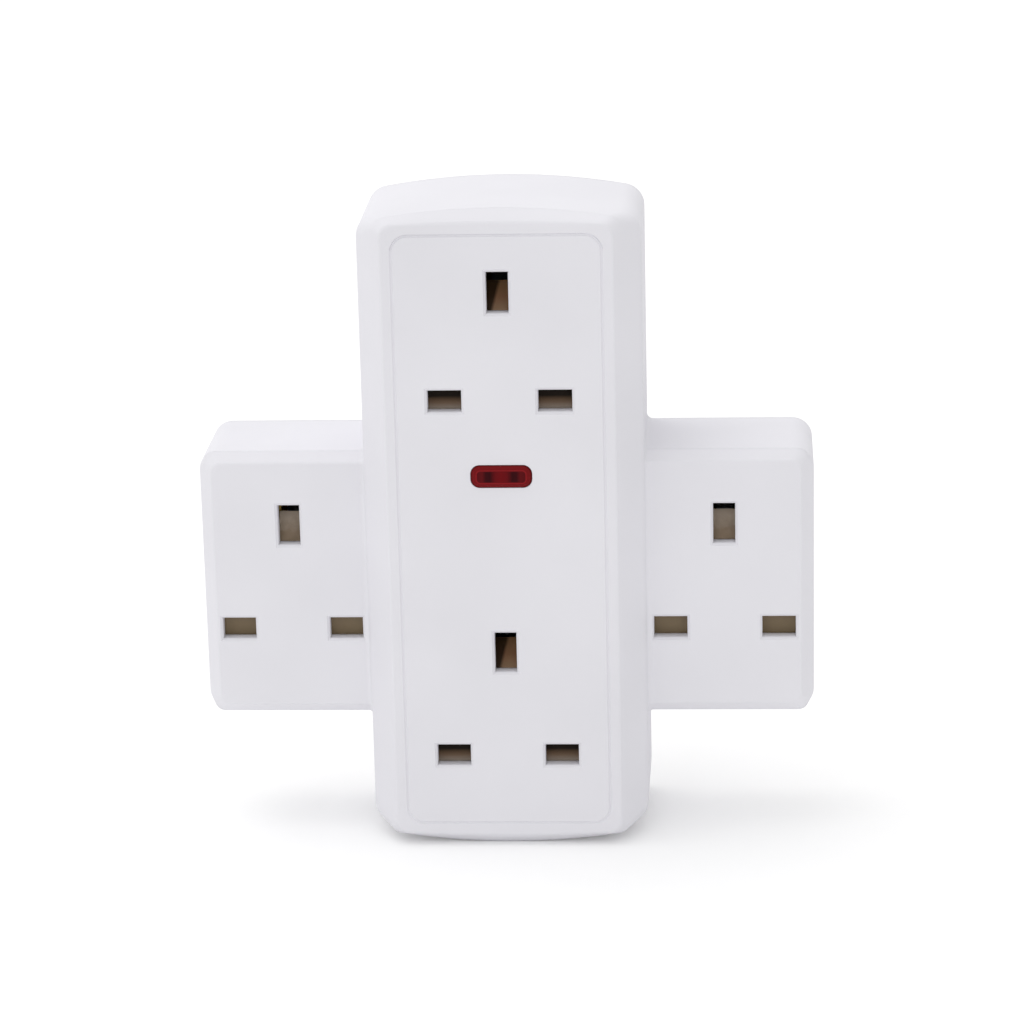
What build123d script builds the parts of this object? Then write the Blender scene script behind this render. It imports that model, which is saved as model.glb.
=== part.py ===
from build123d import *
import os

# Cross-shaped mains adapter with four 13 A sockets: an upright column with two recessed wings.
# It is drawn lying on its back, x to the right, y up, z from the rear face to the front,
# and stood up when it is written. All sizes are in millimetres.

# Nearness at which two places on the model count as one
NEAR = 0.001

# Pin pattern that plug and sockets share
PIN_PITCH = 22.23
PIN_THICK = 3.97
LIVE_PIN_WIDTH = 6.35
LIVE_PIN_LENGTH = 17.7
EARTH_PIN_WIDTH = 7.92
EARTH_PIN_LENGTH = 22.73
PIN_TIP_BEVEL = 0.8
PIN_FLANGE_RIM = 1.6
PIN_FLANGE_THICK = 1.6
SLEEVE_LENGTH = 9.2
SLEEVE_WALL = 0.5
SLEEVE_GAP = 0.05

# Socket slots
SLOT_PLAY = 0.5
SLOT_BEVEL = 0.55

# Column
COLUMN_WIDTH = 57.0
COLUMN_HEIGHT = 134.2
COLUMN_MID = 22.7
COLUMN_ARCH = 2.9
COLUMN_CORNER = 4.6
COLUMN_FLANK = 5.3
COLUMN_FLANK_DEPTH = 8.0
COLUMN_BEVEL = 2.4
COLUMN_BEVEL_DEPTH = 2.6
FACE_ARCH = 0.5
FACE_CORNER = 2.8
EDGE_ROUND = 0.8

# Groove that frames the panel on the front of the column
PANEL_INSET_SIDE = 2.3
PANEL_INSET_END = 2.7
PANEL_CORNER = 3.4
GROOVE_WIDTH = 0.7
GROOVE_DEPTH = 0.25
GROOVE_TAPER = 45.0

# Wings
WING_RECESS = 9.4
WING_HEIGHT = 56.2
WING_MID = 9.5
WING_ROOT_MARGIN = 1.0
WING_CORNER = 4.2
WING_FLANK = 2.6
WING_FLANK_DEPTH = 3.4
WING_BEVEL = 2.1
WING_BEVEL_DEPTH = 2.0
WING_FACE_CORNER = 2.2
ROOT_FILLET = 1.2

# Heights of the two column sockets and the indicator, from the plug's live pin line
UPPER_ROW = 50.8
LOWER_ROW = -24.5
NEON_ROW = 35.2

# Walls and seams of the case
WALL = 2.2
FACE_WALL = 3.0
COVER_WALL = 2.4
COVER_GAP = 0.15

# Shutters behind the slots, each with its bow spring and retainer plate
RUN_GAP = 0.2
SHUTTER_THICK = 2.0
SHUTTER_OVERLAP = 0.45
SHUTTER_CLEAR = 0.3
SHUTTER_END_GAP = 0.35
SHUTTER_CORNER = 1.0
STEM_WIDTH = 8.0
WEDGE_WIDTH = 5.2
WEDGE_PROUD = 0.6
WEDGE_FOOT = 2.0
GUIDE_GAP = 0.3
GUIDE_WIDTH = 1.4
GUIDE_LENGTH = 12.5
SPRING_RISE = 6.6
SPRING_SPAN = 22.0
SPRING_THICK = 0.35
SPRING_STRIP = 1.6
SEAT_WIDTH = 4.0
SEAT_THICK = 1.2
RETAINER_THICK = 1.2
RETAINER_WIDTH = 28.0
RETAINER_RIM = 2.4
RETAINER_CORNER = 2.0
WINDOW_PLAY = 0.8
PAD_SIDE = 4.2
PAD_X = 10.2
PAD_Y = 9.5
PEG_DIAMETER = 1.8
PEG_PROUD = 0.5
PEG_PLAY = 0.3

# Busbars, stamped from strip and stacked behind the sockets
STRIP = 0.8
STRIP_GAP = 2.0
STRIP_WIDTH = 6.0
CROSS_WIDTH = 3.8
STACK_GAP = 0.6
NEUTRAL_CROSS_Y = 5.5
LINE_CROSS_Y = -9.5
JAW_THICK = 0.6
JAW_ROOT = 3.2
JAW_PINCH = 1.75
JAW_MOUTH = 2.7
JAW_SETBACK = 0.8
WING_JAW_LENGTH = 6.0
PAD_RIM = 1.2
POST_DIAMETER = 3.6
EARTH_POST_Y = 60.0
EARTH_POST_X = 28.0
NEUTRAL_POST_Y = 40.0
NEUTRAL_POSTS_X = (-45.0, 24.0)
LINE_POST_Y = 43.0
LINE_POSTS_X = (-22.0, 40.0)

# Fuse, its clips and the drawer that carries it
FUSE_DIAMETER = 6.35
FUSE_LENGTH = 25.4
FUSE_CAP_LENGTH = 6.0
FUSE_CAP_WALL = 0.35
FUSE_CAP_GAP = 0.08
FUSE_X = 15.6
FUSE_FOOT_Y = 8.6
FUSE_PLAY = 0.3
FUSE_BACK_GAP = 0.6
CLIP_THICK = 0.6
CLIP_WIDTH = 5.0
CLIP_GAP = 1.1
DRAWER_PLAY = 0.2
DRAWER_RIM = 1.1
DRAWER_LEDGE = 0.8
DRAWER_STEP = 1.2
DRAWER_CHEEK = 0.9
DRAWER_GRIP = 10.0
DRAWER_CORNER = 1.2
PRY_WIDTH = 5.0
PRY_HEIGHT = 1.1
PRY_DEPTH = 0.8

# Screws that hold the cover
BOSS_DIAMETER = 6.2
BOSS_RIB = 1.4
BOSS_DROP = 13.0
BOSS_HOLE = 3.0
SCREW_SHANK = 2.4
SCREW_LENGTH = 12.0
SCREW_HEAD = 5.0
SCREW_HEAD_HEIGHT = 1.3
SCREW_PLAY = 0.3
SCREW_SINK = 0.2
SCREW_EDGE = 1.2
CROSS_SLOT = 0.7
CROSS_SPAN = 2.8
CROSS_DEPTH = 0.7

# Neon indicator
LENS_WIDTH = 12.5
LENS_HEIGHT = 4.8
LENS_CORNER = 1.9
LENS_GAP = 0.1
LENS_PROUD = 0.5
LENS_BEVEL = 0.8
LENS_FLANGE = 1.2
LENS_FLANGE_THICK = 1.0
LAMP_DIAMETER = 4.4
LAMP_LENGTH = 16.0
LAMP_STUB = 1.8
LAMP_STUB_LENGTH = 1.0
LAMP_GAP = 0.6
LAMP_PLAY = 0.3
CRADLE_THICK = 1.2
CRADLE_RIM = 1.4
LEAD_DIAMETER = 0.6
LEAD_STEP = 1.2
LEAD_BEND = 0.8
RESISTOR_DIAMETER = 2.4
RESISTOR_LENGTH = 6.2

# Slot sizes, and half the width that one socket takes up on a face
live_slot_width = LIVE_PIN_WIDTH + SLOT_PLAY
slot_thick = PIN_THICK + SLOT_PLAY
earth_slot_height = EARTH_PIN_WIDTH + SLOT_PLAY
socket_half = PIN_PITCH / 2 + live_slot_width / 2 + SLOT_BEVEL

# Depths inward from a socket face
shutter_front = FACE_WALL + RUN_GAP
shutter_back = shutter_front + SHUTTER_THICK
retainer_front = shutter_back + RUN_GAP
retainer_back = retainer_front + RETAINER_THICK
wedge_back = retainer_back + WEDGE_PROUD

# Heights above the rear face: cover, fuse, three busbar layers, then the wings' faces
fuse_z = COVER_WALL + FUSE_BACK_GAP + FUSE_DIAMETER / 2
supply_clip_z = fuse_z + FUSE_DIAMETER / 2 + FUSE_PLAY
line_z = supply_clip_z + CLIP_THICK + CLIP_GAP
neutral_z = line_z + STRIP + STRIP_GAP
earth_z = neutral_z + STRIP + STRIP_GAP
wing_depth = earth_z + STRIP + STACK_GAP + wedge_back
depth = wing_depth + WING_RECESS

# Shutter bar: it covers the live slots at rest and drops clear of them
bar_half = slot_thick / 2 + SHUTTER_OVERLAP
bar_reach = PIN_PITCH / 2 + live_slot_width / 2 + SHUTTER_OVERLAP
shutter_travel = slot_thick / 2 + bar_half + SHUTTER_CLEAR
wedge_foot_y = PIN_PITCH - earth_slot_height / 2
wedge_top_y = wedge_foot_y + shutter_travel

# Wing sockets, wing edges outside the shutter and the wall, and the four socket places
wing_x = COLUMN_WIDTH / 2 + WING_ROOT_MARGIN + socket_half
wing_lean = WING_FLANK / WING_FLANK_DEPTH
wing_wall = WALL * (1 + wing_lean**2) ** 0.5
wing_face = wing_x + bar_reach + SHUTTER_END_GAP + wing_wall - wing_lean * shutter_front
wing_reach = wing_face + WING_FLANK
wing_top = WING_MID + WING_HEIGHT / 2
SOCKETS = {
    "upper": Pos(0, UPPER_ROW, depth),
    "lower": Pos(0, LOWER_ROW, depth),
    "left": Pos(-wing_x, 0, wing_depth),
    "right": Pos(wing_x, 0, wing_depth),
}


def block(x0, x1, y0, y1, z0, z1):
    """Box between two corners."""
    return Pos((x0 + x1) / 2, (y0 + y1) / 2, (z0 + z1) / 2) * Box(x1 - x0, y1 - y0, z1 - z0)


def rod(x, y, z0, z1, diameter):
    """Upright cylinder from z0 to z1."""
    return Pos(x, y, (z0 + z1) / 2) * Cylinder(diameter / 2, z1 - z0)


def plate(width, height, corner, z0, z1):
    """Rounded rectangle about the axis, from z0 to z1."""
    return Pos(0, 0, z0) * extrude(RectangleRounded(width, height, corner), z1 - z0)


def arched(half_width, half_height, rise, corner):
    """Outline of the column: straight sides, bowed ends and rounded corners."""
    shoulder = half_height - rise
    edges = [
        ThreePointArc((-half_width, shoulder), (0, half_height), (half_width, shoulder)),
        Line((half_width, shoulder), (half_width, -shoulder)),
        ThreePointArc((half_width, -shoulder), (0, -half_height), (-half_width, -shoulder)),
        Line((-half_width, -shoulder), (-half_width, shoulder)),
    ]
    face = make_face(edges)
    return fillet(face.vertices(), corner)


def stacked(sections):
    """Solid from the rear face through flat outlines, each given with its height."""
    z, outline = sections[0]
    made = extrude(outline, z)
    for upper_z, upper in sections[1:]:
        made += loft([Pos(0, 0, z) * outline, Pos(0, 0, upper_z) * upper], ruled=True)
        z, outline = upper_z, upper
    return made


def flank_drop(width, height, inset):
    """Depth below a face at which its leaning flank, moved inward by inset, turns upright."""
    lean = width / height
    return height + inset * ((1 + lean**2) ** 0.5 - 1) / lean


def flank_half(reach, width, height, inset, drop):
    """Half width between leaning flanks, moved inward by inset, at a depth below their face."""
    lean = width / height
    return reach - width + lean * drop - inset * (1 + lean**2) ** 0.5


def column_outline(half_width, inset, corner):
    """Column outline of a given half width, its bowed ends moved inward by inset."""
    half = COLUMN_WIDTH / 2
    bow = (half**2 + COLUMN_ARCH**2) / (2 * COLUMN_ARCH)
    rise = bow - (bow**2 - half_width**2) ** 0.5
    return arched(half_width, COLUMN_HEIGHT / 2 - inset, rise, corner)


def column_half(inset, drop):
    """Half width of the column between its flanks."""
    return flank_half(COLUMN_WIDTH / 2, COLUMN_FLANK, COLUMN_FLANK_DEPTH, inset, drop)


def wing_half(inset, drop):
    """Half width over both wings between their outer flanks."""
    return flank_half(wing_reach, WING_FLANK, WING_FLANK_DEPTH, inset, drop)


def cross(inset, height):
    """Plain cross-shaped slab, moved inward by inset, from the rear face up."""
    column = column_outline(COLUMN_WIDTH / 2 - inset, inset, COLUMN_CORNER - inset)
    wings = RectangleRounded(
        2 * (wing_reach - inset), WING_HEIGHT - 2 * inset, WING_CORNER - inset
    )
    return extrude(Pos(0, COLUMN_MID) * column, height) + extrude(Pos(0, WING_MID) * wings, height)


def cavity():
    """Hollow of the front moulding, one wall inside its sides and flanks."""
    corner = COLUMN_CORNER - WALL
    column = stacked(
        [
            (
                depth - flank_drop(COLUMN_FLANK, COLUMN_FLANK_DEPTH, WALL),
                column_outline(COLUMN_WIDTH / 2 - WALL, WALL, corner),
            ),
            (depth - FACE_WALL, column_outline(column_half(WALL, FACE_WALL), WALL, corner)),
        ]
    )
    height = WING_HEIGHT - 2 * WALL
    corner = WING_CORNER - WALL
    wings = stacked(
        [
            (
                wing_depth - flank_drop(WING_FLANK, WING_FLANK_DEPTH, WALL),
                RectangleRounded(2 * (wing_reach - WALL), height, corner),
            ),
            (
                wing_depth - FACE_WALL,
                RectangleRounded(2 * wing_half(WALL, FACE_WALL), height, corner),
            ),
        ]
    )
    return Pos(0, COLUMN_MID) * column + Pos(0, WING_MID) * wings


def rounded_rim(slab):
    """Slab with the rim of its front face rounded."""
    face = slab.bounding_box().max.Z
    rim = [e for e in slab.edges() if e.bounding_box().min.Z > face - NEAR]
    return fillet(rim, EDGE_ROUND)


def outer_form():
    """Solid outer form: column and wings with leaning flanks and bevelled ends, blended."""
    column = stacked(
        [
            (
                depth - COLUMN_FLANK_DEPTH,
                column_outline(COLUMN_WIDTH / 2, 0, COLUMN_CORNER),
            ),
            (
                depth - COLUMN_BEVEL_DEPTH,
                column_outline(column_half(0, COLUMN_BEVEL_DEPTH), 0, FACE_CORNER),
            ),
            (
                depth,
                arched(
                    column_half(0, 0), COLUMN_HEIGHT / 2 - COLUMN_BEVEL, FACE_ARCH, FACE_CORNER
                ),
            ),
        ]
    )
    column = rounded_rim(column)
    wings = stacked(
        [
            (
                wing_depth - WING_FLANK_DEPTH,
                RectangleRounded(2 * wing_reach, WING_HEIGHT, WING_CORNER),
            ),
            (
                wing_depth - WING_BEVEL_DEPTH,
                RectangleRounded(2 * wing_half(0, WING_BEVEL_DEPTH), WING_HEIGHT, WING_FACE_CORNER),
            ),
            (
                wing_depth,
                RectangleRounded(
                    2 * wing_half(0, 0), WING_HEIGHT - 2 * WING_BEVEL, WING_FACE_CORNER
                ),
            ),
        ]
    )
    wings = rounded_rim(wings)
    form = Pos(0, COLUMN_MID) * column + Pos(0, WING_MID) * wings
    roots = []
    for edge in form.edges():
        box = edge.bounding_box()
        on_side = box.size.X < NEAR and abs(abs(box.center().X) - COLUMN_WIDTH / 2) < NEAR
        in_wing = abs(box.center().Y - WING_MID) < WING_HEIGHT / 2 + NEAR
        if on_side and in_wing and NEAR < box.max.Z < wing_depth + NEAR:
            roots.append(edge)
    return fillet(roots, ROOT_FILLET)


def slot(width, height):
    """Cutter for one slot, its face at z = 0, with a bevelled mouth."""
    mouth = loft(
        [
            Pos(0, 0, -SLOT_BEVEL) * Rectangle(width, height),
            Rectangle(width + 2 * SLOT_BEVEL, height + 2 * SLOT_BEVEL),
        ],
        ruled=True,
    )
    return mouth + block(-width / 2, width / 2, -height / 2, height / 2, -2 * FACE_WALL, 0)


def slots():
    """Cutters for one socket: line, neutral and earth."""
    live = slot(live_slot_width, slot_thick)
    earth = slot(slot_thick, earth_slot_height)
    half = PIN_PITCH / 2
    return [Pos(half) * live, Pos(-half) * live, Pos(0, PIN_PITCH) * earth]


def socket_supports():
    """Ribs, pads and spring seat moulded behind one socket face."""
    wall = -FACE_WALL
    top = -retainer_front
    inner = STEM_WIDTH / 2 + GUIDE_GAP
    seat_y = -bar_half - SPRING_RISE
    made = block(-SEAT_WIDTH / 2, SEAT_WIDTH / 2, seat_y - SEAT_THICK, seat_y, top, wall)
    for side in (-1, 1):
        guide = Pos(side * (inner + GUIDE_WIDTH / 2), bar_half + GUIDE_LENGTH / 2, (wall + top) / 2)
        made += guide * Box(GUIDE_WIDTH, GUIDE_LENGTH, wall - top)
        made += Pos(side * PAD_X, PAD_Y, (wall + top) / 2) * Box(PAD_SIDE, PAD_SIDE, wall - top)
        made += rod(side * PAD_X, PAD_Y, -retainer_back - PEG_PROUD, top, PEG_DIAMETER)
    return made


def boss_places():
    """Screw places: the column's four corners and the top corner of each wing."""
    sink = COVER_GAP + WALL + SCREW_HEAD / 2 + SCREW_PLAY + SCREW_EDGE
    x = COLUMN_WIDTH / 2 - sink
    y = COLUMN_HEIGHT / 2 - BOSS_DROP
    return {
        "upper_left": (-x, COLUMN_MID + y, depth),
        "upper_right": (x, COLUMN_MID + y, depth),
        "lower_left": (-x, COLUMN_MID - y, depth),
        "lower_right": (x, COLUMN_MID - y, depth),
        "left_wing": (sink - wing_reach, wing_top - sink, wing_depth),
        "right_wing": (wing_reach - sink, wing_top - sink, wing_depth),
    }


def boss(x, y, face):
    """Screw boss from the front wall to the cover, tied to the side wall by a rib."""
    side = 1 if x > 0 else -1
    edge = COLUMN_WIDTH / 2 if face == depth else wing_reach
    post = rod(x, y, COVER_WALL, face - FACE_WALL, BOSS_DIAMETER)
    near, far = sorted((x, side * (edge - WALL / 2)))
    rib = block(near, far, y - BOSS_RIB / 2, y + BOSS_RIB / 2, COVER_WALL, face - FACE_WALL)
    return post + rib - rod(x, y, COVER_WALL, COVER_WALL + SCREW_LENGTH, BOSS_HOLE)


def lamp_z():
    """Height of the lamp's axis above the rear face."""
    return depth - FACE_WALL - LENS_FLANGE_THICK - LAMP_GAP - LAMP_DIAMETER / 2


def lamp_cradle():
    """Two notched ribs behind the lens that carry the lamp."""
    z = lamp_z()
    half = LAMP_DIAMETER / 2 + LAMP_PLAY + CRADLE_RIM
    notch = LAMP_DIAMETER + 2 * LAMP_PLAY
    made = Part()
    for side in (-1, 1):
        x = side * (LENS_WIDTH / 2 + CRADLE_THICK / 2 + LAMP_PLAY)
        rib = Pos(x, NEON_ROW, (depth - FACE_WALL + z) / 2) * Box(
            CRADLE_THICK, 2 * half, depth - FACE_WALL - z
        )
        bore = Pos(x, NEON_ROW, z) * Rot(0, 90, 0) * Cylinder(notch / 2, 2 * CRADLE_THICK)
        made += rib - bore
    return made


def panel_groove():
    """Shallow groove with sloping sides round the panel on the column's face."""
    half_width = column_half(0, 0) - PANEL_INSET_SIDE
    half_height = COLUMN_HEIGHT / 2 - COLUMN_BEVEL - PANEL_INSET_END
    half_groove = GROOVE_WIDTH / 2
    rings = []
    for side in (1, -1):
        ring = RectangleRounded(
            2 * (half_width + side * half_groove),
            2 * (half_height + side * half_groove),
            PANEL_CORNER + side * half_groove,
        )
        rings.append(extrude(ring, -GROOVE_DEPTH, taper=side * GROOVE_TAPER))
    return Pos(0, COLUMN_MID, depth) * (rings[0] - rings[1])


def front_housing():
    """Front moulding: outer form, hollowed from the rear, with slots, ribs and bosses."""
    form = outer_form()
    housing = form - cavity()
    for place in SOCKETS.values():
        housing += place * socket_supports()
    for spot in boss_places().values():
        housing += boss(*spot) & form
    housing += lamp_cradle()
    cutters = [panel_groove()]
    for place in SOCKETS.values():
        cutters += [place * cutter for cutter in slots()]
    window = plate(LENS_WIDTH, LENS_HEIGHT, LENS_CORNER, depth - FACE_WALL, depth)
    cutters.append(Pos(0, NEON_ROW) * window)
    return housing - cutters


def pin_holes():
    """Cutters for the three plug pins through the cover."""
    live = Box(LIVE_PIN_WIDTH + 2 * SLEEVE_GAP, PIN_THICK + 2 * SLEEVE_GAP, 4 * COVER_WALL)
    earth = Box(PIN_THICK + 2 * SLEEVE_GAP, EARTH_PIN_WIDTH + 2 * SLEEVE_GAP, 4 * COVER_WALL)
    half = PIN_PITCH / 2
    return [Pos(half) * live, Pos(-half) * live, Pos(0, PIN_PITCH) * earth]


def drawer_place():
    """Middle of the fuse, on the rear face."""
    return Pos(FUSE_X, FUSE_FOOT_Y + FUSE_LENGTH / 2)


def drawer_plug(play, z_step):
    """Stepped block that closes the fuse opening, or cuts it when play is negative."""
    width = FUSE_DIAMETER + 2 * DRAWER_RIM
    height = FUSE_LENGTH + 2 * DRAWER_RIM
    rim = 2 * DRAWER_LEDGE - 2 * play
    outer = plate(width + rim, height + rim, DRAWER_CORNER, 0, z_step)
    return outer + plate(width - 2 * play, height - 2 * play, DRAWER_CORNER, z_step, COVER_WALL)


def cover_posts():
    """Busbar posts on the cover: place and height of each."""
    half = PIN_PITCH / 2
    posts = [(0, EARTH_POST_Y, earth_z)]
    posts += [(side * EARTH_POST_X, PIN_PITCH, earth_z) for side in (-1, 1)]
    posts.append((-half, NEUTRAL_POST_Y, neutral_z))
    posts += [(x, NEUTRAL_CROSS_Y, neutral_z) for x in NEUTRAL_POSTS_X]
    posts.append((half, LINE_POST_Y, line_z))
    posts += [(x, LINE_CROSS_Y, line_z) for x in LINE_POSTS_X]
    return posts


def rear_cover():
    """Rear cover, flush inside the housing's rim, with pin holes, fuse opening and posts."""
    cover = cross(WALL + COVER_GAP, COVER_WALL)
    for x, y, z in cover_posts():
        cover += rod(x, y, COVER_WALL, z, POST_DIAMETER)
        cover += rod(x, y, z, z + STRIP + PEG_PROUD, PEG_DIAMETER)
    cutters = pin_holes()
    cutters.append(drawer_place() * drawer_plug(0, DRAWER_STEP))
    for x, y, _ in boss_places().values():
        cutters.append(rod(x, y, 0, COVER_WALL, SCREW_SHANK + 2 * SCREW_PLAY))
        sink = SCREW_HEAD_HEIGHT + SCREW_SINK
        cutters.append(rod(x, y, 0, sink, SCREW_HEAD + 2 * SCREW_PLAY))
    return cover - cutters


def screw(x, y, _):
    """Cover screw with a cross recess in its head."""
    under = SCREW_SINK + SCREW_HEAD_HEIGHT
    made = rod(x, y, SCREW_SINK, under, SCREW_HEAD)
    made += rod(x, y, under, SCREW_LENGTH, SCREW_SHANK)
    recess = Box(CROSS_SPAN, CROSS_SLOT, 2 * CROSS_DEPTH)
    recess += Box(CROSS_SLOT, CROSS_SPAN, 2 * CROSS_DEPTH)
    return made - Pos(x, y, SCREW_SINK) * recess


def shutter():
    """Shutter of one socket: bar over the live slots, stem, and wedge behind the earth slot."""
    bar = plate(2 * bar_reach, 2 * bar_half, SHUTTER_CORNER, -shutter_back, -shutter_front)
    stem = block(
        -STEM_WIDTH / 2, STEM_WIDTH / 2, 0, wedge_foot_y, -shutter_back, -shutter_front
    )
    ramp = Polygon(
        (wedge_foot_y - WEDGE_FOOT, -shutter_front),
        (wedge_foot_y, -shutter_front),
        (wedge_top_y, -wedge_back),
        (wedge_foot_y - WEDGE_FOOT, -wedge_back),
        align=None,
    )
    return bar + stem + extrude(Plane.YZ * ramp, WEDGE_WIDTH / 2, both=True)


def shutter_spring():
    """Bow spring of flat strip between the spring seat and the shutter bar."""
    half = SPRING_SPAN / 2
    inner = half - SPRING_THICK
    rise = SPRING_RISE - SPRING_THICK
    edges = [
        ThreePointArc((-half, 0), (0, -SPRING_RISE), (half, 0)),
        Line((half, 0), (inner, 0)),
        ThreePointArc((inner, 0), (0, -rise), (-inner, 0)),
        Line((-inner, 0), (-half, 0)),
    ]
    middle = (shutter_front + shutter_back) / 2
    return Pos(0, -bar_half, -middle) * extrude(make_face(edges), SPRING_STRIP / 2, both=True)


def shutter_retainer():
    """Plate that keeps one shutter in its guides, with windows for the pins and the wedge."""
    foot = -bar_half - SPRING_RISE - SEAT_THICK
    waist = PAD_Y + PAD_SIDE / 2
    head = PIN_PITCH + earth_slot_height / 2 + WINDOW_PLAY + RETAINER_RIM
    neck = WEDGE_WIDTH / 2 + WINDOW_PLAY + RETAINER_RIM
    outline = strip(-RETAINER_WIDTH / 2, RETAINER_WIDTH / 2, foot, waist) + strip(-neck, neck, waist, head)
    outline = fillet(outline.vertices(), RETAINER_CORNER)
    sill = wedge_foot_y - WEDGE_FOOT - shutter_travel - WINDOW_PLAY
    lintel = head - RETAINER_RIM
    earth = Rectangle(WEDGE_WIDTH + 2 * WINDOW_PLAY, lintel - sill)
    live = Rectangle(live_slot_width + WINDOW_PLAY, slot_thick + WINDOW_PLAY)
    outline -= Pos(0, (sill + lintel) / 2) * earth
    for side in (-1, 1):
        outline -= Pos(side * PIN_PITCH / 2, 0) * live
        outline -= Pos(side * PAD_X, PAD_Y) * Circle(PEG_DIAMETER / 2 + PEG_PLAY)
    return Pos(0, 0, -retainer_back) * extrude(outline, RETAINER_THICK)


def jaw(plane, width, length):
    """Pair of sprung contact leaves that rise from z = 0 and pinch a pin."""
    bend = 0.2 * length
    pinch = 0.72 * length
    leaf = Polygon(
        (JAW_ROOT, 0),
        (JAW_ROOT, bend),
        (JAW_PINCH, pinch),
        (JAW_MOUTH, length),
        (JAW_MOUTH + JAW_THICK, length),
        (JAW_PINCH + JAW_THICK, pinch),
        (JAW_ROOT + JAW_THICK, bend),
        (JAW_ROOT + JAW_THICK, 0),
        align=None,
    )
    leaves = leaf + mirror(leaf, Plane.YZ)
    return extrude(plane * leaves, width / 2, both=True)


def live_jaw(length):
    """Contact leaves above and below a line or neutral pin."""
    return jaw(Plane.YZ, LIVE_PIN_WIDTH, length)


def earth_jaw(length):
    """Contact leaves to the left and right of an earth pin."""
    return jaw(Plane.XZ, EARTH_PIN_WIDTH, length)


def strip(x0, x1, y0, y1):
    """Flat run of busbar between two corners."""
    return Pos((x0 + x1) / 2, (y0 + y1) / 2) * Rectangle(x1 - x0, y1 - y0)


def jaw_length(z):
    """Length of a column contact that starts at z and stops behind the shutter."""
    return depth - wedge_back - JAW_SETBACK - z


def live_busbar(side, z, cross_y):
    """Line or neutral busbar: upright strip, cross strip, and a contact for each socket."""
    half = PIN_PITCH / 2
    root = JAW_ROOT + JAW_THICK
    middle = side * half
    upright = strip(
        middle - STRIP_WIDTH / 2, middle + STRIP_WIDTH / 2, LOWER_ROW - root, UPPER_ROW + root
    )
    pad = LIVE_PIN_WIDTH / 2 + PAD_RIM
    ends = (middle - wing_x, middle + wing_x)
    flat = upright + strip(
        ends[0] - pad, ends[1] + pad, cross_y - CROSS_WIDTH / 2, cross_y + CROSS_WIDTH / 2
    )
    low = min(-root, cross_y - CROSS_WIDTH / 2)
    high = max(root, cross_y + CROSS_WIDTH / 2)
    for x in ends:
        flat += strip(x - pad, x + pad, low, high)
    for x in ends:
        flat -= Pos(x, 0) * Rectangle(LIVE_PIN_WIDTH + WINDOW_PLAY, PIN_THICK + WINDOW_PLAY)
    for x, y, height in cover_posts():
        if height == z:
            flat -= Pos(x, y) * Circle(PEG_DIAMETER / 2 + PEG_PLAY)
    if side > 0:
        reach = FUSE_X + FUSE_DIAMETER / 2 + FUSE_PLAY + CLIP_THICK
        clip_y = FUSE_FOOT_Y + FUSE_LENGTH - FUSE_CAP_LENGTH / 2
        flat += strip(middle, reach, clip_y - CLIP_WIDTH / 2, clip_y + CLIP_WIDTH / 2)
    bar = Pos(0, 0, z) * extrude(flat, STRIP)
    for y in (UPPER_ROW, LOWER_ROW):
        bar += Pos(middle, y, z + STRIP) * live_jaw(jaw_length(z + STRIP))
    for x in ends:
        bar += Pos(x, 0, z) * Rot(180, 0, 0) * live_jaw(WING_JAW_LENGTH)
    return bar


def earth_busbar():
    """Earth busbar: a flat cross with a contact at each end."""
    root = JAW_ROOT + JAW_THICK
    pad = EARTH_PIN_WIDTH / 2 + PAD_RIM
    rows = (LOWER_ROW + PIN_PITCH, UPPER_ROW + PIN_PITCH)
    flat = strip(-STRIP_WIDTH / 2, STRIP_WIDTH / 2, rows[0], rows[1])
    flat += strip(-wing_x, wing_x, PIN_PITCH - STRIP_WIDTH / 2, PIN_PITCH + STRIP_WIDTH / 2)
    places = [(0, rows[0]), (0, rows[1]), (-wing_x, PIN_PITCH), (wing_x, PIN_PITCH)]
    for x, y in places:
        flat += strip(x - root, x + root, y - pad, y + pad)
    for x, y in places:
        flat -= Pos(x, y) * Rectangle(PIN_THICK + WINDOW_PLAY, EARTH_PIN_WIDTH + WINDOW_PLAY)
    for x, y, height in cover_posts():
        if height == earth_z:
            flat -= Pos(x, y) * Circle(PEG_DIAMETER / 2 + PEG_PLAY)
    bar = Pos(0, 0, earth_z) * extrude(flat, STRIP)
    for x, y in places[:2]:
        bar += Pos(x, y, earth_z + STRIP) * earth_jaw(jaw_length(earth_z + STRIP))
    for x, y in places[2:]:
        bar += Pos(x, y, earth_z) * Rot(180, 0, 0) * earth_jaw(WING_JAW_LENGTH)
    return bar


def plug_pin(width, height, length, inner):
    """Plug pin through the cover, from inner height to its bevelled tip, with a flange inside."""
    shank = block(-width / 2, width / 2, -height / 2, height / 2, -length, inner)
    tip = shank.faces().sort_by(Axis.Z)[0]
    shank = chamfer(tip.edges(), PIN_TIP_BEVEL)
    rim = PIN_FLANGE_RIM
    return shank + block(
        -width / 2 - rim,
        width / 2 + rim,
        -height / 2 - rim,
        height / 2 + rim,
        COVER_WALL,
        COVER_WALL + PIN_FLANGE_THICK,
    )


def sleeve(inset):
    """Block of the sleeved length of a live pin, its sides moved inward by inset."""
    return block(
        inset - LIVE_PIN_WIDTH / 2,
        LIVE_PIN_WIDTH / 2 - inset,
        inset - PIN_THICK / 2,
        PIN_THICK / 2 - inset,
        -SLEEVE_LENGTH,
        0,
    )


def live_pin(side, inner):
    """Line or neutral pin, necked where its sleeve sits."""
    pin = plug_pin(LIVE_PIN_WIDTH, PIN_THICK, LIVE_PIN_LENGTH, inner)
    return Pos(side * PIN_PITCH / 2) * (pin - (sleeve(0) - sleeve(SLEEVE_WALL + SLEEVE_GAP)))


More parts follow.
